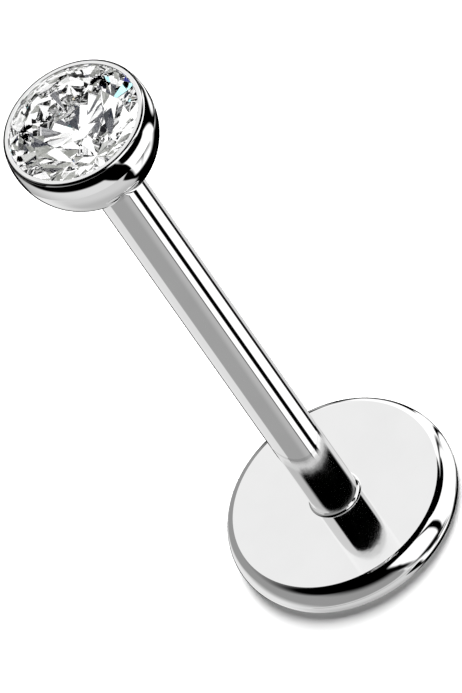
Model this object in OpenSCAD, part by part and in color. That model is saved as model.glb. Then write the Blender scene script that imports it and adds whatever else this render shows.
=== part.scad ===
// Labret stud: a flat back disc with a straight post, closed by a ball that holds a round brilliant.
// Millimetres. The stud stands on its back disc, +Z runs up the post, origin at the middle of the back.

/* [Post] */
// Outside diameter of the post, 18 gauge
post_diameter = 1.0; // [0.8:0.05:1.6]
// Bare post between the back disc and the ball's seat
wearing_length = 11.3; // [6:0.1:16]
// Radius of the fillet where the post is soldered to the disc
foot_fillet = 0.06; // [0.02:0.01:0.2]

/* [Back disc] */
// Outside diameter of the disc
disc_diameter = 4.8; // [3.5:0.1:7]
// Thickness of the disc
disc_thickness = 0.7; // [0.5:0.05:1.2]
// Height of the disc's widest circle above its back
widest_level = 0.3; // [0.2:0.02:0.4]
// Rounding of the disc's bulging side
side_round = 0.58; // [0.4:0.02:1]
// Rounding between the side and the face that carries the post
face_edge_round = 0.2; // [0.05:0.01:0.25]
// Rounding between the side and the back
back_edge_round = 0.14; // [0.05:0.01:0.18]

/* [Ball setting] */
// Diameter of the ball
ball_diameter = 3.0; // [2.5:0.1:4]
// Height of the flat rim above the ball's centre
rim_height = 0.375; // [0.2:0.025:0.6]
// Width of the rim from the ball's outside to the opening
rim_width = 0.12; // [0.06:0.01:0.25]
// Thickness of the lip that holds the stone down
lip_thickness = 0.06; // [0.04:0.01:0.12]
// How far the lip reaches over the stone's edge
lip_cover = 0.03; // [0.01:0.01:0.06]
// Bevel that breaks the two edges of the rim
rim_bevel = 0.03; // [0.005:0.005:0.04]
// Diameter of the small hole that clears the stone's point
relief_diameter = 0.3; // [0.2:0.02:0.5]
// Room left under the stone's point
point_room = 0.05; // [0.02:0.01:0.15]

/* [Hidden pin] */
// Diameter of the ball's plain pin inside the post
pin_diameter = 0.6; // [0.3:0.05:0.65]
// Length of the pin below the ball's seat
pin_length = 1.8; // [0.8:0.1:3]
// Room left under the pin's end
pin_end_room = 0.1; // [0.02:0.02:0.4]
// Bevel on the pin's end
pin_bevel = 0.06; // [0.02:0.01:0.12]

/* [Stone] */
// Table width, corner to corner
table_diameter = 1.56; // [1:0.02:1.8]
// Slope of the kite facets
crown_angle = 34.5; // [30:0.5:38]
// Slope of the main facets below
pavilion_angle = 41; // [38:0.5:43]
// How far the star facets reach from the table to the edge
star_share = 0.5; // [0.4:0.02:0.62]
// How far the lower half facets reach from the edge to the point
lower_half_share = 0.77; // [0.7:0.01:0.85]
// Thickness of the stone's edge at its corners
girdle_thickness = 0.08; // [0.07:0.01:0.14]

/* [Fits] */
// Gap round the pin, on the radius
pin_clearance = 0.02; // [0.01:0.005:0.04]
// Gap between the ball's seat and the end of the post
seat_gap = 0.01; // [0.005:0.005:0.05]
// Gap round the stone
stone_clearance = 0.015; // [0.01:0.005:0.04]

/* [Hidden] */

// Roundness of the turned surfaces
fine = 128;
// How far a cut or a joined piece runs past its face
past = 0.1;

post_radius = post_diameter / 2;
disc_radius = disc_diameter / 2;
ball_radius = ball_diameter / 2;
pin_radius = pin_diameter / 2;
bore_radius = pin_radius + pin_clearance;
bore_depth = pin_length + pin_end_room - seat_gap;

// The disc's side is one bulging arc that runs smoothly into a smaller arc above and below
face_drop = disc_thickness - widest_level;
bulge_round = max(side_round, face_drop, widest_level);
function turn_angle(height, corner) = acos((height - corner) / (bulge_round - corner));
function edge_depth(height, corner) =
    bulge_round - (bulge_round - corner) * sin(turn_angle(height, corner));

// Heights from the back of the disc upwards
post_top = disc_thickness + wearing_length;
seat_level = post_top + seat_gap;
ball_centre = seat_level + sqrt(pow(ball_radius, 2) - pow(post_radius, 2));
rim_level = ball_centre + rim_height;

// The opening follows from the ball, and the stone follows from the opening
rim_radius = sqrt(pow(ball_radius, 2) - pow(rim_height, 2));
opening_radius = rim_radius - rim_width;
stone_radius = opening_radius + lip_cover;
cup_radius = stone_radius + stone_clearance;
lip_level = rim_level - lip_thickness;

// The stone's edge sits below the lip, whose underside slopes as the crown does
girdle_top = lip_level - lip_cover * tan(crown_angle) - stone_clearance / cos(crown_angle);
girdle_bottom = girdle_top - girdle_thickness;

// The brilliant cut: eight kites, stars and mains, and sixteen half facets above and below
sides = 8;
step = 360 / sides;
half = step / 2;
quarter = half / 2;
table_radius = table_diameter / 2;
table_flat = table_radius * cos(half);
star_radius = table_flat + star_share * (stone_radius - table_flat);
lower_radius = stone_radius * (1 - lower_half_share);
table_level = girdle_top + (stone_radius - table_radius) * tan(crown_angle);
star_level = girdle_top + (stone_radius - star_radius * cos(half)) * tan(crown_angle);
lower_level = girdle_bottom - (stone_radius - lower_radius * cos(half)) * tan(pavilion_angle);
point_level = girdle_bottom - stone_radius * tan(pavilion_angle);

// Slopes of the half facets, along the middle of each
upper_slope = (star_level - girdle_top) / ((stone_radius - star_radius) * cos(quarter));
lower_slope = (girdle_bottom - lower_level) / ((stone_radius - lower_radius) * cos(quarter));

// The cup's cone lies below the stone's ridges, which stand a little out of the mains
ridge = lower_radius * (1 - cos(half)) * tan(pavilion_angle);
cup_drop = stone_clearance / cos(pavilion_angle) + ridge;
relief_radius = relief_diameter / 2;
relief_level = girdle_bottom - (stone_radius - relief_radius) * tan(pavilion_angle) - cup_drop;

// Half of the disc's section: two flat cores, a corner arc on each and the bulging side
module disc_section() {
    face_flat = disc_radius - edge_depth(face_drop, face_edge_round);
    back_flat = disc_radius - edge_depth(widest_level, back_edge_round);
    side_top = disc_thickness - face_edge_round * (1 - cos(turn_angle(face_drop, face_edge_round)));
    side_bottom = back_edge_round * (1 - cos(turn_angle(widest_level, back_edge_round)));
    square([back_flat, widest_level]);
    translate([0, widest_level])
        square([face_flat, face_drop]);
    translate([face_flat, disc_thickness - face_edge_round])
        circle(r = face_edge_round, $fn = fine);
    translate([back_flat, back_edge_round])
        circle(r = back_edge_round, $fn = fine);
    intersection() {
        translate([disc_radius - bulge_round, widest_level])
            circle(r = bulge_round, $fn = fine);
        translate([disc_radius - bulge_round, side_bottom])
            square([bulge_round, side_top - side_bottom]);
    }
}

module disc() {
    rotate_extrude($fn = fine)
        disc_section();
}

// A ring of solder with a hollow round outside
module foot() {
    outer = post_radius + foot_fillet;
    inner = (bore_radius + post_radius) / 2;
    rotate_extrude($fn = fine)
        difference() {
            translate([inner, disc_thickness - foot_fillet])
                square([outer - inner, 2 * foot_fillet]);
            translate([outer, disc_thickness + foot_fillet])
                circle(r = foot_fillet, $fn = fine);
        }
}

module post_and_disc() {
    color("silver")
        difference() {
            union() {
                disc();
                translate([0, 0, disc_thickness / 2])
                    cylinder(r = post_radius, h = post_top - disc_thickness / 2, $fn = fine);
                foot();
            }
            translate([0, 0, post_top - bore_depth])
                cylinder(r = bore_radius, h = bore_depth + past, $fn = fine);
        }
}

// Outline of the cup: bevel, lip, slope under the lip, wall, cone and relief hole
function cup_outline() = [
    [0, rim_level + past],
    [opening_radius + rim_bevel + past, rim_level + past],
    [opening_radius, lip_level + lip_thickness - rim_bevel],
    [opening_radius, lip_level],
    [cup_radius, lip_level - (cup_radius - opening_radius) * tan(crown_angle)],
    [cup_radius, girdle_bottom + stone_clearance * tan(pavilion_angle) - cup_drop],
    [relief_radius, relief_level],
    [relief_radius, point_level - point_room],
    [0, point_level - point_room]
];

// A cone that breaks the rim's outer edge at 45 degrees
module rim_edge_cut() {
    inner = rim_radius - rim_bevel;
    reach = rim_bevel + past;
    rotate_extrude($fn = fine)
        polygon([
            [inner - past, rim_level + past],
            [inner + reach, rim_level - reach],
            [inner + reach, rim_level + past]
        ]);
}

module pin() {
    tip_level = seat_level - pin_length;
    translate([0, 0, tip_level + pin_bevel])
        cylinder(r = pin_radius, h = pin_length - pin_bevel + past, $fn = fine);
    translate([0, 0, tip_level])
        cylinder(r1 = pin_radius - pin_bevel, r2 = pin_radius, h = pin_bevel, $fn = fine);
}

module ball_setting() {
    color("silver")
        union() {
            difference() {
                translate([0, 0, ball_centre])
                    sphere(r = ball_radius, $fn = fine);
                translate([0, 0, rim_level + ball_radius / 2])
                    cube([2 * ball_diameter, 2 * ball_diameter, ball_radius], center = true);
                translate([0, 0, seat_level - ball_radius / 2])
                    cube([2 * ball_diameter, 2 * ball_diameter, ball_radius], center = true);
                rim_edge_cut();
                rotate_extrude($fn = fine)
                    polygon(cup_outline());
            }
            pin();
        }
}

function around(radius, angle, level) = [radius * cos(angle), radius * sin(angle), level];

// Points of the stone's edge between two corners, where a half facet meets the round
arc_steps = 4;
edge_count = 2 * sides * arc_steps;
edge_step = 360 / edge_count;
function off_middle(k) = abs((k % arc_steps) * edge_step - quarter);
function bulge(k) = stone_radius * (cos(off_middle(k)) - cos(quarter));

stone_points = concat(
    [for (i = [0 : sides - 1]) around(table_radius, i * step, table_level)],
    [for (i = [0 : sides - 1]) around(star_radius, i * step + half, star_level)],
    [for (k = [0 : edge_count - 1])
        around(stone_radius, k * edge_step, girdle_top - bulge(k) * upper_slope)],
    [for (k = [0 : edge_count - 1])
        around(stone_radius, k * edge_step, girdle_bottom + bulge(k) * lower_slope)],
    [for (i = [0 : sides - 1]) around(lower_radius, i * step + half, lower_level)],
    [[0, 0, point_level]]
);

// Where each kind of point is in that list
function table_point(i) = i % sides;
function star_point(i) = sides + (i + sides) % sides;
function top_edge(k) = 2 * sides + k % edge_count;
function bottom_edge(k) = top_edge(k) + edge_count;
function lower_point(i) = 2 * sides + 2 * edge_count + (i + sides) % sides;
tip_point = 3 * sides + 2 * edge_count;

stone_facets = concat(
    [[for (i = [sides - 1 : -1 : 0]) table_point(i)]],
    [for (i = [0 : sides - 1]) [table_point(i + 1), star_point(i), table_point(i)]],
    [for (i = [0 : sides - 1])
        [table_point(i), star_point(i), top_edge(2 * i * arc_steps), star_point(i - 1)]],
    [for (h = [0 : 2 * sides - 1]) concat(
        [star_point(floor(h / 2))],
        [for (k = [arc_steps : -1 : 0]) top_edge(h * arc_steps + k)])],
    [for (k = [0 : edge_count - 1])
        [top_edge(k), top_edge(k + 1), bottom_edge(k + 1), bottom_edge(k)]],
    [for (h = [0 : 2 * sides - 1]) concat(
        [lower_point(floor(h / 2))],
        [for (k = [0 : arc_steps]) bottom_edge(h * arc_steps + k)])],
    [for (i = [0 : sides - 1])
        [tip_point, lower_point(i - 1), bottom_edge(2 * i * arc_steps), lower_point(i)]]
);

module stone() {
    color("aliceblue", 0.6)
        polyhedron(points = stone_points, faces = stone_facets);
}

post_and_disc();
ball_setting();
stone();
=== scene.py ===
import bpy
import math
from mathutils import Matrix, Vector


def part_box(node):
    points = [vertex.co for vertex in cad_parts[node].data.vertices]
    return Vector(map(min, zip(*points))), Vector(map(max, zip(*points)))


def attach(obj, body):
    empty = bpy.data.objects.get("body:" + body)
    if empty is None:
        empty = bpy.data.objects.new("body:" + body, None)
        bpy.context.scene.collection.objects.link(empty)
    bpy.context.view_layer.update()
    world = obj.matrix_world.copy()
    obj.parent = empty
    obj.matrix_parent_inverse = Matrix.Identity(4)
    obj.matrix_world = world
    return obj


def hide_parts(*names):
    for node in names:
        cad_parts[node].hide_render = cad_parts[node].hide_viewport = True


# Labret stud: a polished steel post and back disc, and a ball that holds a clear round brilliant.
# Metres. The stud stands on its disc on a pale floor, with its post along Z.

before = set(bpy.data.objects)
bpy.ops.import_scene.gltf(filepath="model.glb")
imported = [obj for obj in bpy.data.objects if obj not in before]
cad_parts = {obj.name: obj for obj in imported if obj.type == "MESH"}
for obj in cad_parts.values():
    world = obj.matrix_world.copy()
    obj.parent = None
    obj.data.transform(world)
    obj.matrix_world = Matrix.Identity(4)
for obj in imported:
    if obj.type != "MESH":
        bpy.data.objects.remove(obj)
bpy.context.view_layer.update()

MM = 0.001

# Sizes that the frame gives
_, metal_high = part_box("post_and_disc")
ball_low, ball_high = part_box("ball_setting")
stone_low, stone_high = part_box("stone")
disc_radius = metal_high.x
post_top = metal_high.z
ball_radius = ball_high.x
rim_level = ball_high.z
pin_tip = ball_low.z
stone_radius = stone_high.x

# Slopes of the stone's cut, which the lip and the cup follow
crown_slope = math.tan(math.radians(34.5))
lower_slope = math.tan(math.radians(41))
girdle_bottom = stone_low.z + stone_radius * lower_slope

# Sizes of the post and the disc
post_radius = 0.5 * MM
disc_thickness = 0.7 * MM
widest_level = 0.3 * MM
side_round = 0.58 * MM
face_edge_round = 0.2 * MM
back_edge_round = 0.14 * MM
foot_fillet = 0.06 * MM
bore_radius = 0.32 * MM
bore_depth = 1.89 * MM

# Sizes of the ball setting
seat_gap = 0.01 * MM
rim_height = 0.375 * MM
ball_level = rim_level - rim_height
rim_width = 0.12 * MM
rim_round = 0.06 * MM
rim_bevel = 0.01 * MM
lip_thickness = 0.06 * MM
stone_room = 0.015 * MM
cup_side = 0.1 * MM
relief_radius = 0.15 * MM
relief_depth = 0.05 * MM
pin_radius = 0.3 * MM
pin_bevel = 0.06 * MM

# Steps round a turned piece, and the radius under which a ring is one point on the axis
TURNS = 256
ON_AXIS = 1e-9

# Polished steel: the share of light that it returns and how that differs from place to place, its
# roughness, and the waves and marks that polishing leaves
STEEL_SHARE = 0.8
STEEL_SPREAD = 0.012
STEEL_ROUGHNESS = (0.012, 0.03)
WAVE_SCALE = 900.0
WAVE_HEIGHT = 0.0006 * MM
MARK_SCALE = 16000.0
MARK_HEIGHT = 0.00002 * MM

# The clear stone: its refractive index, and its slight changes of tone
STONE_INDEX = 2.16
STONE_CLOUD_SCALE = 1500.0
STONE_TONE = (0.97, 0.99)

# Camera
AIM = Vector((0, 0, 6 * MM))
CAMERA_DISTANCE = 297.5 * MM
CAMERA_ELEVATION = math.radians(48.21)
CAMERA_ROLL = math.radians(35.14)
CAMERA_LENS = 800
CAMERA_SENSOR = 36
CAMERA_RANGE = (0.001, 10)

# How often light may turn in all, and how often by reflection or by refraction
MOST_BOUNCES = 24
MOST_REFLECTIONS = 16

# The picture's ground
BEHIND_LIGHT = 1.2

# The floor, a hair under the disc, with light from the dome and from a soft key light
FLOOR_WIDTH = 4.0
FLOOR_GAP = 0.003 * MM
FLOOR_WHITE = 0.9
FLOOR_ROUGHNESS = 0.6
FLOOR_LIGHT = 0.1
KEY_AZIMUTH = 27.7
KEY_ELEVATION = 64
KEY_DISTANCE = 300 * MM
KEY_SIZE = 220 * MM
KEY_POWER = 2.0

# The studio as polished steel shows it. Each light or dark flag is a rounded patch of directions in
# degrees, laid over those before it. Azimuth 0 is +Y, away from the camera, and 90 is +X. Squareness 2 is
# an ellipse, more is squarer, and 0 is a round cap, whose half width is its angle from its middle. Lean is
# azimuth per degree up. Grey 0 is black and 1 is white.
# Name, azimuth, elevation, half width, half height, squareness, softness, lean, grey
STUDIO = (
    ("ground", 0, -94.4, 400, 46.3, 1.2, 0.06, 0.08, 0.71),
    ("ground glow", -168.8, -47.2, 132.8, 28, 2.3, 0.38, 2.61, 0.807),
    ("left wall", -96.4, 13.6, 92, 55.5, 11, 0.03, 0.07, 0.581),
    ("left light", -49.7, -38.9, 49.3, 25.5, 1.2, 0.49, -0.16, 0.89),
    ("dark corner", 173, 58.3, 67.2, 0, 0, 0.17, 0, 0),
    ("right wall", 83.6, 5.1, 85.9, 46.9, 12, 0.02, 0.02, 1.032),
    ("right wall top", 150.2, 23.3, 27.5, 24, 3.6, 0.13, 0.06, 1),
    ("dark right corner", 85, 45, 28, 20, 2, 0.06, 0, 0),
    ("frame of the low light", 115.3, -59, 52, 17.5, 1.5, 0.05, 0.02, 0),
    ("low light", 110.2, -42.5, 45.1, 26.5, 12, 0.08, 0.72, 1.05),
    ("dark dome", 60.5, -60, 24.7, 20, 4.5, 0.48, -0.92, 0),
    ("dark dome right", 65, -72.5, 65.7, 11, 1.3, 0.21, 0.56, 0),
    ("small light", 61.5, -42.5, 26.3, 7.6, 1.8, 0.43, -0.27, 1.037),
    ("first upper line", 55.4, 29.6, 4, 28.2, 12, 0.81, -0.14, 0),
    ("first lower line", 41.8, -28.6, 2.7, 18.4, 2.9, 0.51, 0.83, 0),
    ("second line", 127.5, 1.1, 3.6, 54.9, 12, 0.4, 0.16, 0),
    ("third line", 172.9, -4.3, 4.7, 28.5, 3.4, 0.57, 0.44, 0),
    ("middle line", 5.2, -2.5, 10.3, 37.1, 1.2, 0.11, -0.07, 0.03),
    ("middle light", 4.7, -15.1, 2.2, 40.1, 12, 0.84, 0.1, 0.689),
    ("lower dark line", 129.2, -43.2, 20.5, 10.5, 9.3, 0.46, 1.55, 0),
    ("outline", 0, -48, 30, 14, 2, 0.1, 0, 0),
    ("right outline", 16, -26, 13, 24, 4, 0.1, 0.45, 0),
    ("lower right outline", 26, -60, 20, 10, 2.5, 0.1, 0, 0),
    ("face light", 0, 48, 12, 9, 6, 0.05, 0, 0.925),
)

# Depths up to which a ray is a first reflection. The world counts one more than a surface does.
FIRST_DEPTH_IN_WORLD = 2.5
FIRST_DEPTH_ON_CARD = 1.5

# Steps round the ring and the card
CARD_STEPS = 96

# The part of the studio's ground that the ball sees, a wide ring round the stud. Elevations are those
# seen from the ball's middle. A ray from the ball starts within this many ball radii of its middle.
BALL_REACH = 1.01
GROUND_RING = (11.5 * MM, 60 * MM)
GROUND = (
    ("ground", 0.6, -30.1, 416.7, 59, 9.3, 0.02, -0.21, 0.637),
    ("glow", -154, -28.8, 103.4, 38.1, 2.3, 0.56, 1.49, 0.866),
    ("dark horizon", -108.9, -16.8, 78, 16.7, 12, 0.09, 0.72, 0),
    ("dark behind", 176.6, -29.4, 16.5, 29.2, 1.6, 0.12, 0.62, 0),
    ("right dark", 62.7, -48.1, 48, 63.4, 2.7, 0.03, -0.03, 0),
    ("low light", 119.5, -48.9, 41.7, 20.3, 2.5, 0.06, 0.64, 1.05),
    ("dome", 159.1, -56.8, 13.1, 27.3, 5.9, 0.08, 0.38, 0),
    ("small light", 54, -41.5, 13.1, 3.7, 2.1, 0.41, 0.56, 1.003),
    ("upper light", 27.7, -40.9, 19.6, 1.8, 1.7, 0.14, -0.1, 1.05),
    ("middle light", 7.8, -21.7, 17.3, 5.5, 2.2, 0.13, 0.64, 1.038),
    ("line", -41.8, -33.5, 21.6, 3.8, 1.3, 0.73, -3.85, 0),
    ("front light", 8, -50, 22, 5, 2, 0.4, 0, 0.7),
    ("outline", 0, -48, 30, 14, 2, 0.1, 0, 0),
    ("rim outline", 0, -17.5, 50, 16.5, 6, 0.08, 0, 0),
    ("left outline", -30, -43, 14, 6, 2, 0.1, 0, 0),
    ("rim's right band", 134, -24, 28, 8.5, 4, 0.08, 0, 0),
)

# The stripes along the post, all round
# Name, azimuth, half width, squareness, softness, grey
BELT_LEVEL = -48.2
BELT_HALF_HEIGHT = 1.1
BELT = (
    ("ground", 180, 86, 16, 0.06, 0.62),
    ("glow", 172, 17, 4, 0.8, 0.705),
    ("left", -62, 32, 12, 0.06, 0.865),
    ("dark line", 165, 1.6, 4, 0.3, 0.3),
    ("light", 151, 10.5, 12, 0.06, 1.05),
    ("dark", 130.5, 8.5, 8, 0.2, 0),
    ("right light", 96, 25, 12, 0.08, 1.05),
    ("right dark", 62, 10.5, 8, 0.25, 0.04),
    ("edge", 30, 20, 8, 0.15, 0.81),
)

# A card round the stud. The post's foot and the foot's mirror image on the disc show it. Its patches are
# as the studio's, with a height in millimetres in place of the elevation.
CARD_RADIUS = 15 * MM
CARD_HEIGHTS = (15.1 * MM, 32 * MM)
CARD_AZIMUTHS = (12, 348)
CARD = (
    ("black above", 180, 29, 400, 4, 30, 0.01, 0, 0),
    ("face", 180, 21.5, 400, 4.2, 16, 0.01, 0, 0.925),
    ("face by the mirrored post's sides", 0, 21, 36, 4.7, 16, 0.1, 0, 0.9),
    ("border of the mirrored foot", 180, 17.26, 137, 1.85, 8, 0.04, 0, 0.8),
    ("mirrored foot", 162, 17.26, 90, 1.6, 14, 0.05, 0, 0),
    ("foot", 180, 16.53, 190, 0.8, 12, 0.1, 0, 0.72),
    ("foot's left edge", -26, 16.53, 14, 0.8, 6, 0.1, 0, 0.87),
    ("foot's right edge", 52, 16.53, 18, 0.8, 6, 0.15, 0, 0.85),
    ("black foot", 167, 16.53, 95.5, 0.77, 8, 0.1, 0, 0),
)

# A black flag behind and left of the ball that draws a thin dark outline round its rim's far side
RIM_FLAG_RADIUS = 6 * MM
RIM_FLAG_HEIGHTS = (13.1 * MM, 18.3 * MM)
RIM_FLAG_AZIMUTHS = (-105, 70)
RIM_FLAG_STEPS = 16

# The studio as the clear stone shows it, in the same terms, with the light's red, green and blue in place
# of the grey. The gloss is the share of it that the stone's outer reflections show.
STONE_LIGHT = (1.5, 1.5, 1.5)
STONE_GLOSS = 0.05
DARK = (0.01, 0.01, 0.015)
DIM = (0.025, 0.03, 0.05)
GREY = (0.44, 0.45, 0.42)
STONE_STUDIO = (
    ("front low", 154, -8, 18, 9, 2, 0.05, 0, DARK),
    ("right top", 115, 67, 20, 7, 2, 0.05, 0, GREY),
    ("right", 121, 23, 11, 4, 2, 0.05, 0, DARK),
    ("left low", -58, -3, 7, 18, 2, 0.05, 0, DARK),
    ("back top", -13, 82, 7, 20, 2, 0.05, 0, DARK),
    ("front", 140, 18, 15, 19, 2, 0.05, 0, DARK),
    ("left", -123, 51, 41, 4, 2, 0.05, 0, GREY),
    ("left 2", -90, 48, 11, 6, 2, 0.05, 0, DARK),
    ("front 2", -153, 38, 7, 5, 2, 0.05, 0, DARK),
    ("left top", -61, 62, 17, 9, 2, 0.05, 0, GREY),
    ("back", 19, 31, 10, 11, 2, 0.05, 0, DARK),
    ("right low", 76, 0, 19, 17, 2, 0.05, 0, DIM),
    ("right 2", 96, 35, 8, 8, 2, 0.05, 0, GREY),
    ("front low 2", -142, 7, 25, 4, 2, 0.05, 0, DARK),
    ("left 3", -75, 25, 7, 9, 2, 0.05, 0, DARK),
    ("right 3", 95, 50, 11, 5, 2, 0.05, 0, GREY),
    ("right low 2", 129, 7, 18, 5, 2, 0.05, 0, DIM),
    ("front top", 166, 60, 27, 7, 2, 0.05, 0, DARK),
    ("front top 2", -169, 64, 39, 15, 2, 0.05, 0, DIM),
    ("front 3", 172, 49, 14, 7, 2, 0.05, 0, GREY),
    ("front 4", -165, 22, 12, 14, 2, 0.05, 0, DIM),
    ("front top 3", -155, 78, 12, 15, 2, 0.05, 0, GREY),
    ("left 4", -74, 41, 22, 11, 2, 0.05, 0, GREY),
    ("right 4", 135, 35, 29, 14, 2, 0.05, 0, GREY),
    ("blue-grey spark", 161, 42, 7, 4, 2, 0.1, 0, (0.2, 0.27, 0.42)),
    ("blue spark", -177, 14, 4, 4, 2, 0.1, 0, (0.04, 0.05, 0.4)),
    ("pale blue spark", -162, 36, 5, 4, 2, 0.1, 0, (0.9, 1.6, 1.7)),
    ("warm spark", -30, 50, 8, 6, 2, 0.1, 0, (0.85, 0.76, 0.55)),
)


class Tree:
    """Short calls that add and join the nodes of one shader tree."""

    def __init__(self, tree):
        tree.nodes.clear()
        self.tree = tree

    def add(self, kind, inputs=(), **settings):
        node = self.tree.nodes.new(kind)
        for name, value in settings.items():
            setattr(node, name, value)
        for name, value in dict(inputs).items():
            self.feed(node.inputs[name], value)
        return node

    def feed(self, socket, value):
        if isinstance(value, bpy.types.NodeSocket):
            self.tree.links.new(value, socket)
        else:
            socket.default_value = value

    def math(self, operation, *values):
        node = self.add("ShaderNodeMath", operation=operation)
        for socket, value in zip(node.inputs, values):
            self.feed(socket, value)
        return node.outputs[0]

    def ramp(self, value, start, end, first, last):
        node = self.add("ShaderNodeMapRange", interpolation_type="SMOOTHSTEP")
        for socket, given in zip(node.inputs, (value, start, end, first, last)):
            self.feed(socket, given)
        return node.outputs[0]

    def mix(self, share, first, second):
        node = self.add("ShaderNodeMix", data_type="FLOAT")
        for place, given in ((0, share), (2, first), (3, second)):
            self.feed(node.inputs[place], given)
        return node.outputs[0]

    def mix_colour(self, share, first, second):
        node = self.add("ShaderNodeMix", data_type="RGBA")
        for place, given in ((0, share), (6, first), (7, second)):
            self.feed(node.inputs[place], given)
        return node.outputs[2]

    def grey(self, value):
        return self.add("ShaderNodeCombineColor", {place: value for place in range(3)}).outputs[0]

    def noise(self, place, scale, detail):
        settings = {"Vector": place, "Scale": scale, "Detail": detail}
        return self.add("ShaderNodeTexNoise", settings).outputs["Fac"]

    def path(self, name):
        return self.add("ShaderNodeLightPath").outputs[name]

    def hide(self, shader, hidden):
        """The shader where hidden is 0, and nothing where it is 1."""
        clear = self.add("ShaderNodeBsdfTransparent").outputs[0]
        return self.add("ShaderNodeMixShader", {0: hidden, 1: shader, 2: clear}).outputs[0]

    def show(self, shader, kind="ShaderNodeOutputMaterial"):
        self.feed(self.add(kind).inputs["Surface"], shader)


def plain(grey):
    return (grey, grey, grey, 1)


def new_object(name, data):
    made = bpy.data.objects.new(name, data)
    bpy.context.scene.collection.objects.link(made)
    return made


def new_material(name):
    material = bpy.data.materials.new(name)
    material.use_nodes = True
    return material, Tree(material.node_tree)


def direction_of(azimuth, elevation):
    turn, rise = math.radians(azimuth), math.radians(elevation)
    return (math.cos(rise) * math.sin(turn), math.cos(rise) * math.cos(turn), math.sin(rise))


def light_of(grey):
    """The studio's light where polished steel shows this grey."""
    shown = ((grey + 0.055) / 1.055) ** 2.4 if grey > 0.04 else grey / 12.92
    return shown / STEEL_SHARE


def azimuth_and_height(tree, place):
    parts = tree.add("ShaderNodeSeparateXYZ", {"Vector": place}).outputs
    return tree.math("DEGREES", tree.math("ARCTAN2", parts["X"], parts["Y"])), parts["Z"]


def cap_reach(tree, direction, patch):
    """The angle from the middle of a round cap, where 1 is the cap's edge."""
    _, middle, level, half_width, *_ = patch
    ends = {0: direction, 1: direction_of(middle, level)}
    dot = tree.add("ShaderNodeVectorMath", ends, operation="DOT_PRODUCT").outputs["Value"]
    return tree.math("DIVIDE", tree.math("DEGREES", tree.math("ARCCOSINE", dot)), half_width)


def patch_reach(tree, azimuth, elevation, patch):
    """The distance from the middle of a patch, where 1 is the patch's edge."""
    _, middle, level, half_width, half_height, squareness, _, lean, _ = patch
    up = tree.math("SUBTRACT", elevation, level)
    across = tree.math("SUBTRACT", azimuth, middle)
    if lean:
        across = tree.math("SUBTRACT", across, tree.math("MULTIPLY", up, lean))
    across = tree.math("ABSOLUTE", tree.math("WRAP", across, 180, -180))
    across = tree.math("POWER", tree.math("DIVIDE", across, half_width), squareness)
    up = tree.math("POWER", tree.math("DIVIDE", tree.math("ABSOLUTE", up), half_height), squareness)
    return tree.math("POWER", tree.math("ADD", across, up), 1 / squareness)


def patch_mask(tree, direction, azimuth, elevation, patch):
    """1 inside the patch of directions and 0 outside it."""
    squareness, softness = patch[5:7]
    if squareness:
        reach = patch_reach(tree, azimuth, elevation, patch)
    else:
        reach = cap_reach(tree, direction, patch)
    return tree.ramp(reach, 1 - softness, 1 + softness, 1, 0)


def add_patches(tree, light, patches, direction, azimuth, elevation, gain=1.0):
    """The light with each patch laid over it in turn."""
    for patch in patches:
        mask = patch_mask(tree, direction, azimuth, elevation, patch)
        light = tree.mix(mask, light, light_of(patch[-1]) * gain)
    return light


def add_belt(tree, light, azimuth, elevation, gain=1.0):
    patches = []
    for name, middle, half_width, squareness, softness, grey in BELT:
        shape = (half_width, BELT_HALF_HEIGHT, squareness, softness, 0)
        patches.append((name, middle, BELT_LEVEL, *shape, grey))
    return add_patches(tree, light, patches, None, azimuth, elevation, gain)


def steel_studio(tree, direction, azimuth, elevation):
    """The light that polished steel sees. Second reflections see the post's stripes at any elevation."""
    light = add_patches(tree, 0.0, STUDIO, direction, azimuth, elevation)
    twice = tree.math("GREATER_THAN", tree.path("Ray Depth"), FIRST_DEPTH_IN_WORLD)
    belt_elevation = tree.mix(twice, elevation, BELT_LEVEL)
    return tree.grey(add_belt(tree, light, azimuth, belt_elevation))


def stone_studio(tree, direction, azimuth, elevation):
    light = (*STONE_LIGHT, 1)
    for patch in STONE_STUDIO:
        mask = patch_mask(tree, direction, azimuth, elevation, patch)
        light = tree.mix_colour(mask, light, (*patch[-1], 1))
    return light


def build_world():
    """A plain dome for the floor and the picture's ground, and a studio each for steel and stone."""
    world = bpy.data.worlds.new("studio")
    bpy.context.scene.world = world
    world.use_nodes = True
    world.cycles.sampling_method = "NONE"
    tree = Tree(world.node_tree)
    direction = tree.add("ShaderNodeTexCoord").outputs["Generated"]
    azimuth, height = azimuth_and_height(tree, direction)
    elevation = tree.math("DEGREES", tree.math("ARCSINE", height))
    steel_light = steel_studio(tree, direction, azimuth, elevation)
    stone_light = stone_studio(tree, direction, azimuth, elevation)
    off_stone = tree.path("Is Singular Ray")
    gloss_share = tree.math("MULTIPLY", off_stone, STONE_GLOSS)
    gloss_light = tree.mix_colour(gloss_share, plain(0), stone_light)
    light = tree.mix_colour(off_stone, steel_light, gloss_light)
    light = tree.mix_colour(tree.path("Is Transmission Ray"), light, stone_light)
    light = tree.mix_colour(tree.path("Is Diffuse Ray"), light, plain(FLOOR_LIGHT))
    light = tree.mix_colour(tree.path("Is Camera Ray"), light, plain(BEHIND_LIGHT))
    shader = tree.add("ShaderNodeBackground", {"Color": light, "Strength": 1.0}).outputs[0]
    tree.show(shader, "ShaderNodeOutputWorld")


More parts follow.
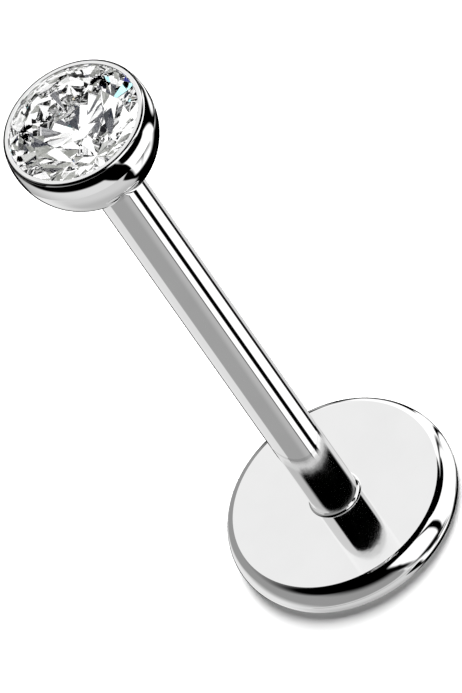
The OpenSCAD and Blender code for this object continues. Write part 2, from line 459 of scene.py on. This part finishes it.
def build_camera():
    data = bpy.data.cameras.new("camera")
    data.lens = CAMERA_LENS
    data.sensor_width = CAMERA_SENSOR
    data.clip_start, data.clip_end = CAMERA_RANGE
    camera = new_object("camera", data)
    tilt = Matrix.Rotation(math.pi / 2 - CAMERA_ELEVATION, 4, "X")
    roll = Matrix.Rotation(-CAMERA_ROLL, 4, "Z")
    back = Vector((0, -math.cos(CAMERA_ELEVATION), math.sin(CAMERA_ELEVATION)))
    camera.matrix_world = Matrix.Translation(AIM + back * CAMERA_DISTANCE) @ tilt @ roll
    bpy.context.scene.camera = camera


def build_floor():
    """A wide white floor, clear from below. Polished metal and the stone see the studio's own ground."""
    material, tree = new_material("pale floor")
    white = {"Base Color": plain(FLOOR_WHITE), "Roughness": FLOOR_ROUGHNESS, "Specular IOR Level": 0.0}
    shader = tree.add("ShaderNodeBsdfPrincipled", white).outputs[0]
    from_below = tree.add("ShaderNodeNewGeometry").outputs["Backfacing"]
    tree.show(tree.hide(shader, from_below))
    half = FLOOR_WIDTH / 2
    corners = [(x * half, y * half, -FLOOR_GAP) for x, y in ((-1, -1), (1, -1), (1, 1), (-1, 1))]
    mesh = bpy.data.meshes.new("floor")
    mesh.from_pydata(corners, [], [(0, 1, 2, 3)])
    mesh.materials.append(material)
    floor = new_object("floor", mesh)
    floor.visible_glossy = False
    floor.visible_transmission = False


def build_key_light():
    """A soft light that gives the stud a short dark shadow on the floor."""
    data = bpy.data.lights.new("key light", "AREA")
    data.size = KEY_SIZE
    data.energy = KEY_POWER
    light = new_object("key light", data)
    toward = Vector(direction_of(KEY_AZIMUTH, KEY_ELEVATION))
    turn = toward.to_track_quat("Z", "Y").to_matrix().to_4x4()
    light.matrix_world = Matrix.Translation(toward * KEY_DISTANCE) @ turn
    light.visible_glossy = False
    light.visible_transmission = False


def strip(first_azimuth, last_azimuth, edges, steps):
    """Points and faces of a strip round Z between two edges, each a radius and a height."""
    points, faces = [], []
    for step in range(steps + 1):
        angle = math.radians(first_azimuth + (last_azimuth - first_azimuth) * step / steps)
        for radius, height in edges:
            points.append((radius * math.sin(angle), radius * math.cos(angle), height))
        if step:
            faces.append((2 * step - 2, 2 * step - 1, 2 * step + 1, 2 * step))
    return points, faces


def build_card(name, points, faces, light, tree, material, hidden=0.0):
    """A piece of the studio near the stud. Only polished metal sees it, and not where it is hidden."""
    light = tree.mix(tree.path("Is Singular Ray"), light, 0.0)
    shader = tree.add("ShaderNodeEmission", {"Strength": light}).outputs[0]
    tree.show(tree.hide(shader, hidden))
    mesh = bpy.data.meshes.new(name)
    mesh.from_pydata(points, [], faces)
    mesh.materials.append(material)
    card = new_object(name, mesh)
    card.visible_camera = False
    card.visible_diffuse = False
    card.visible_transmission = False
    card.visible_shadow = False


def build_ground_ring():
    """The ring lies level with the disc's face, and shows its light upwards only.

    A ray from the post is too short to come from the ball, and passes through.
    """
    material, tree = new_material("studio ground")
    place = tree.add("ShaderNodeTexCoord").outputs["Object"]
    azimuth, _ = azimuth_and_height(tree, place)
    ends = {0: place, 1: (0, 0, ball_level)}
    from_ball = tree.add("ShaderNodeVectorMath", ends, operation="DISTANCE").outputs["Value"]
    rise = tree.math("DIVIDE", disc_thickness - ball_level, from_ball)
    elevation = tree.math("DEGREES", tree.math("ARCSINE", rise))
    light = add_patches(tree, 0.0, GROUND, None, azimuth, elevation)
    from_below = tree.add("ShaderNodeNewGeometry").outputs["Backfacing"]
    shortest = tree.math("SUBTRACT", from_ball, ball_radius * BALL_REACH)
    too_short = tree.math("LESS_THAN", tree.path("Ray Length"), shortest)
    hidden = tree.math("MAXIMUM", from_below, too_short)
    inner, outer = GROUND_RING
    edges = [(outer, disc_thickness), (inner, disc_thickness)]
    build_card("studio_ground", *strip(0, 360, edges, CARD_STEPS), light, tree, material, hidden)


def build_foot_card():
    """Light from here reaches the camera by the post and the disc, so it is dimmed twice.

    Single reflections, which come from the disc's edge, pass through the card.
    """
    material, tree = new_material("foot card")
    place = tree.add("ShaderNodeTexCoord").outputs["Object"]
    azimuth, height = azimuth_and_height(tree, place)
    height = tree.math("MULTIPLY", height, 1 / MM)
    gain = 1 / STEEL_SHARE
    light = add_belt(tree, 0.0, azimuth, BELT_LEVEL, gain)
    light = add_patches(tree, light, CARD, None, azimuth, height, gain)
    single = tree.math("LESS_THAN", tree.path("Ray Depth"), FIRST_DEPTH_ON_CARD)
    edges = [(CARD_RADIUS, height) for height in CARD_HEIGHTS]
    build_card("foot_card", *strip(*CARD_AZIMUTHS, edges, CARD_STEPS), light, tree, material, single)


def build_rim_flag():
    material, tree = new_material("rim flag")
    edges = [(RIM_FLAG_RADIUS, height) for height in RIM_FLAG_HEIGHTS]
    build_card("rim_flag", *strip(*RIM_FLAG_AZIMUTHS, edges, RIM_FLAG_STEPS), 0.0, tree, material)


# An outline is a list of stretches that runs up the outside of a piece and is turned round Z. Each point
# is radius, height and the way its surface faces, as an angle from straight out towards straight up.
def straight(first, last):
    facing = math.atan2(first[0] - last[0], last[1] - first[1])
    return [(*first, facing), (*last, facing)]


def rounded(middle, radius, start, end, steps, hollow=False):
    points = []
    for step in range(steps + 1):
        angle = math.radians(start + (end - start) * step / steps)
        facing = angle + math.pi if hollow else angle
        out, height = middle[0] + radius * math.cos(angle), middle[1] + radius * math.sin(angle)
        points.append((out, height, facing))
    return points


def round_at(radius, turn):
    angle = 2 * math.pi * turn / TURNS
    return radius * math.cos(angle), radius * math.sin(angle)


def add_ring(points, radius, height):
    """Add a ring of points, or one point on the axis. Gives the point at each step round."""
    count = 1 if radius < ON_AXIS else TURNS
    start = len(points)
    for turn in range(count):
        points.append((*round_at(radius, turn), height))
    return [start + turn % count for turn in range(TURNS)]


def add_band(faces, normals, lower, low_facing, upper, high_facing):
    """Add the faces between two rings, and the way the surface faces at each of their corners."""
    for turn in range(TURNS):
        after = (turn + 1) % TURNS
        corners = (
            (lower[turn], low_facing, turn),
            (lower[after], low_facing, after),
            (upper[after], high_facing, after),
            (upper[turn], high_facing, turn),
        )
        kept = [corner for place, corner in enumerate(corners) if corner[0] != corners[place - 1][0]]
        faces.append([corner[0] for corner in kept])
        for _, facing, at in kept:
            normals.append((*round_at(math.cos(facing), at), math.sin(facing)))


def turned(name, outline):
    """A closed mesh from an outline, shaded by the way each stretch faces."""
    points, faces, normals = [], [], []
    lower = add_ring(points, *outline[0][0][:2])
    for stretch in outline:
        for (_, _, low_facing), (radius, height, high_facing) in zip(stretch, stretch[1:]):
            upper = add_ring(points, radius, height)
            add_band(faces, normals, lower, low_facing, upper, high_facing)
            lower = upper
    mesh = bpy.data.meshes.new(name)
    mesh.from_pydata(points, [], faces)
    mesh.shade_smooth()
    mesh.normals_split_custom_set(normals)
    return new_object(name, mesh)


def edge_corner(height, corner):
    """The radius of a corner arc's middle and the side arc's angle where the two meet."""
    meeting = math.asin((height - corner) / (side_round - corner))
    return disc_radius - side_round + (side_round - corner) * math.cos(meeting), math.degrees(meeting)


def build_post_and_disc():
    foot = post_radius + foot_fillet
    bore_end = post_top - bore_depth
    back_flat, low_turn = edge_corner(widest_level, back_edge_round)
    face_flat, high_turn = edge_corner(disc_thickness - widest_level, face_edge_round)
    face_corner = (face_flat, disc_thickness - face_edge_round)
    outline = [
        straight((0, 0), (back_flat, 0)),
        rounded((back_flat, back_edge_round), back_edge_round, -90, -low_turn, steps=16),
        rounded((disc_radius - side_round, widest_level), side_round, -low_turn, high_turn, steps=32),
        rounded(face_corner, face_edge_round, high_turn, 90, steps=24),
        straight((face_flat, disc_thickness), (foot, disc_thickness)),
        rounded((foot, disc_thickness + foot_fillet), foot_fillet, 270, 180, steps=10, hollow=True),
        straight((post_radius, disc_thickness + foot_fillet), (post_radius, post_top)),
        straight((post_radius, post_top), (bore_radius, post_top)),
        straight((bore_radius, post_top), (bore_radius, bore_end)),
        straight((bore_radius, bore_end), (0, bore_end)),
    ]
    return turned("polished_post_and_disc", outline)


def pin_outline(seat):
    return [
        straight((0, pin_tip), (pin_radius - pin_bevel, pin_tip)),
        straight((pin_radius - pin_bevel, pin_tip), (pin_radius, pin_tip + pin_bevel)),
        straight((pin_radius, pin_tip + pin_bevel), (pin_radius, seat)),
        straight((pin_radius, seat), (post_radius, seat)),
    ]


def ball_outline(seat, inner):
    """The ball from its seat on the post to its rim, and the rim's flat up to the inner bevel."""
    seat_angle = math.degrees(math.asin((seat - ball_level) / ball_radius))
    edge_angle = math.degrees(math.asin((rim_height - rim_round) / (ball_radius - rim_round)))
    edge_radius = (ball_radius - rim_round) * math.cos(math.radians(edge_angle))
    return [
        rounded((0, ball_level), ball_radius, seat_angle, edge_angle, steps=96),
        rounded((edge_radius, rim_level - rim_round), rim_round, edge_angle, 90, steps=12),
        straight((edge_radius, rim_level), (inner + rim_bevel, rim_level)),
    ]


def cup_outline(inner):
    """The inner bevel, the lip, and the cup down to the relief under the stone's point."""
    lip_level = rim_level - lip_thickness
    cup_radius = stone_radius + stone_room
    cup_top = lip_level - (cup_radius - inner) * crown_slope
    cup_bottom = cup_top - cup_side
    relief_level = cup_bottom - (cup_radius - relief_radius) * lower_slope
    relief_end = stone_low.z - relief_depth
    return [
        straight((inner + rim_bevel, rim_level), (inner, rim_level - rim_bevel)),
        straight((inner, rim_level - rim_bevel), (inner, lip_level)),
        straight((inner, lip_level), (cup_radius, cup_top)),
        straight((cup_radius, cup_top), (cup_radius, cup_bottom)),
        straight((cup_radius, cup_bottom), (relief_radius, relief_level)),
        straight((relief_radius, relief_level), (relief_radius, relief_end)),
        straight((relief_radius, relief_end), (0, relief_end)),
    ]


def build_ball_setting():
    seat = post_top + seat_gap
    inner = math.sqrt(ball_radius**2 - rim_height**2) - rim_width
    outline = pin_outline(seat) + ball_outline(seat, inner) + cup_outline(inner)
    return turned("polished_ball_setting", outline)


def steel_material(name):
    """Mirror-polished steel with faint waves and marks of the polishing wheel."""
    material, tree = new_material(name)
    place = tree.add("ShaderNodeTexCoord").outputs["Object"]
    cloud = tree.noise(place, WAVE_SCALE, 3.0)
    grain = tree.noise(place, MARK_SCALE, 2.0)
    roughness = tree.ramp(cloud, 0.3, 0.7, *STEEL_ROUGHNESS)
    tone = tree.ramp(cloud, 0.25, 0.75, STEEL_SHARE - STEEL_SPREAD, STEEL_SHARE + STEEL_SPREAD)
    waves = {"Strength": 1.0, "Distance": WAVE_HEIGHT, "Height": cloud}
    waves = tree.add("ShaderNodeBump", waves).outputs[0]
    marks = {"Strength": 1.0, "Distance": MARK_HEIGHT, "Height": grain, "Normal": waves}
    marks = tree.add("ShaderNodeBump", marks).outputs[0]
    steel = {"Metallic": 1.0, "Roughness": roughness, "Base Color": tree.grey(tone), "Normal": marks}
    tree.show(tree.add("ShaderNodeBsdfPrincipled", steel).outputs[0])
    return material


def stone_material():
    """Clear cubic zirconia with mirror backing on its lower facets."""
    material, tree = new_material("clear stone")
    place = tree.add("ShaderNodeTexCoord").outputs["Object"]
    _, height = azimuth_and_height(tree, place)
    backing = tree.math("LESS_THAN", height, girdle_bottom)
    tone = tree.ramp(tree.noise(place, STONE_CLOUD_SCALE, 2.0), 0.3, 0.7, *STONE_TONE)
    clear = {"Roughness": 0.0, "IOR": STONE_INDEX, "Transmission Weight": 1.0, "Metallic": backing}
    clear["Base Color"] = tree.grey(tone)
    tree.show(tree.add("ShaderNodeBsdfPrincipled", clear).outputs[0])
    return material


def dress(piece, material, node):
    piece.data.materials.append(material)
    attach(piece, "root")
    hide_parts(node)


build_camera()
build_world()
build_floor()
build_key_light()
build_ground_ring()
build_foot_card()
build_rim_flag()
dress(build_post_and_disc(), steel_material("polished steel"), "post_and_disc")
dress(build_ball_setting(), steel_material("polished ball steel"), "ball_setting")
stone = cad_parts["stone"]
stone.material_slots[0].material = stone_material()

scene = bpy.context.scene
scene.view_settings.view_transform = "Standard"
scene.cycles.max_bounces = MOST_BOUNCES
scene.cycles.glossy_bounces = MOST_REFLECTIONS
scene.cycles.transmission_bounces = MOST_REFLECTIONS
